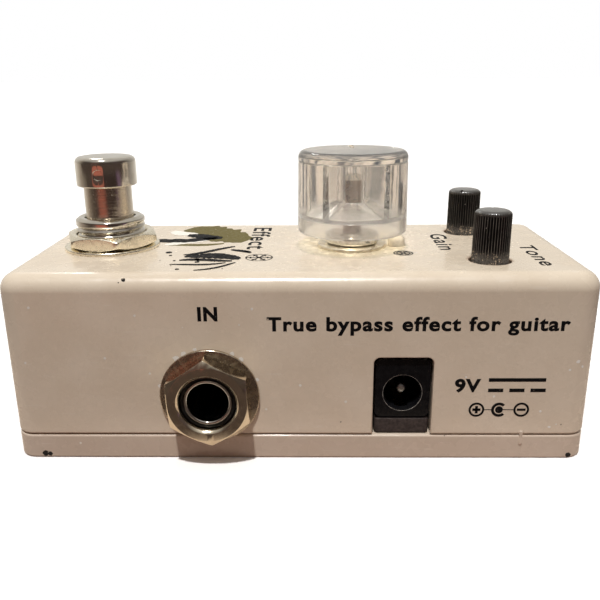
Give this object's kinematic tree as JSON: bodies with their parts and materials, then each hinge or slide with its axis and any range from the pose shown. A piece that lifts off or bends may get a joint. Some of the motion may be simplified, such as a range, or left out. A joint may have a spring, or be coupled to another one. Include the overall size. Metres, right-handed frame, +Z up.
{
  "type": "guitar effects pedal",
  "caption": "Small die-cast guitar effects pedal with a footswitch, a large clear knob, small black knobs, side jacks and a 9 V power socket.",
  "frame": {"origin": "on the underside, at the centre of the whole object's box, which is the centre of the footprint", "axes": "+Z up; +X towards the end with the small knobs; -Y is the side with the input jack and the power socket"},
  "size_m": [0.0936, 0.0472, 0.0479],
  "materials": {
    "enclosure_paint": "gloss cream paint on die-cast metal",
    "nickel_plate": "bright nickel plate",
    "plain_steel": "turned steel",
    "contact_brass": "satin",
    "clear_acrylic": "clear moulded acrylic",
    "led_lens": "clear epoxy lens",
    "black_knob": "satin with a dusty foot",
    "black_plastic": "satin moulded",
    "switch_plastic": "blue phenolic",
    "circuit_board": "green solder mask",
    "ribbon_sleeve": "PVC",
    "capacitor_sleeve": "shrink sleeve",
    "foam_rubber": "dense black foam"
  },
  "bodies": {
    "chassis": {"enclosure_shell": "enclosure_paint", "base_plate": "enclosure_paint", "main_board": "circuit_board", "op_amp_chip": "black_plastic", "capacitor": "capacitor_sleeve", "footswitch_bushing": "nickel_plate", "footswitch_nut": "nickel_plate", "footswitch_washer": "nickel_plate", "footswitch_lock_washer": "plain_steel", "footswitch_inner_nut": "nickel_plate", "footswitch_frame": "plain_steel", "footswitch_housing": "switch_plastic", "footswitch_spring": "plain_steel", "footswitch_board": "circuit_board", "footswitch_ribbon": "ribbon_sleeve", "main_pot_bushing": "nickel_plate", "main_pot_body": "black_plastic", "main_pot_nut": "nickel_plate", "main_pot_washer": "nickel_plate", "status_led": "led_lens", "led_spacer": "black_plastic", "power_socket_body": "black_plastic", "power_socket_pin": "nickel_plate", "power_socket_spring": "contact_brass", "power_socket_pad": "foam_rubber", "base_screw_1": "plain_steel", "base_screw_2": "plain_steel", "base_screw_3": "plain_steel", "base_screw_4": "plain_steel", "footswitch_lug_1": "contact_brass", "footswitch_lug_2": "contact_brass", "footswitch_lug_3": "contact_brass", "footswitch_lug_4": "contact_brass", "footswitch_lug_5": "contact_brass", "footswitch_lug_6": "contact_brass", "footswitch_lug_7": "contact_brass", "footswitch_lug_8": "contact_brass", "footswitch_lug_9": "contact_brass", "tone_pot_body": "black_plastic", "gain_pot_body": "black_plastic", "input_jack_body": "black_plastic", "input_jack_ferrule": "nickel_plate", "input_jack_nut": "nickel_plate", "input_jack_washer": "nickel_plate", "input_jack_tip_spring": "contact_brass", "output_jack_body": "black_plastic", "output_jack_ferrule": "nickel_plate", "output_jack_nut": "nickel_plate", "output_jack_washer": "nickel_plate", "output_jack_tip_spring": "contact_brass"},
    "footswitch_button": {"footswitch_cap": "nickel_plate", "footswitch_plunger": "plain_steel"},
    "main_dial": {"main_knob": "clear_acrylic", "main_knob_lens": "clear_acrylic", "main_pot_shaft": "plain_steel"},
    "tone_dial": {"tone_knob": "black_knob", "tone_pot_shaft": "black_plastic"},
    "gain_dial": {"gain_knob": "black_knob", "gain_pot_shaft": "black_plastic"}
  },
  "joints": [
    {"name": "footswitch_press", "type": "slide", "parent": "chassis", "child": "footswitch_button", "axis": [0, 0, -1], "range_m": [0, 0.003], "stiffness_N_per_m": 2500, "springref_m": -0.001, "deforming": ["footswitch_spring"]},
    {"name": "main_knob_turn", "type": "hinge", "parent": "chassis", "child": "main_dial", "pos_m": [0.0093, 0, 0.04], "axis": [0, 0, 1], "range_deg": [-150, 150]},
    {"name": "tone_knob_turn", "type": "hinge", "parent": "chassis", "child": "tone_dial", "pos_m": [0.0312, -0.0108, 0.035], "axis": [0, 0, 1], "range_deg": [-140, 140]},
    {"name": "gain_knob_turn", "type": "hinge", "parent": "chassis", "child": "gain_dial", "pos_m": [0.0312, 0.0108, 0.035], "axis": [0, 0, 1], "range_deg": [-140, 140]}
  ]
}
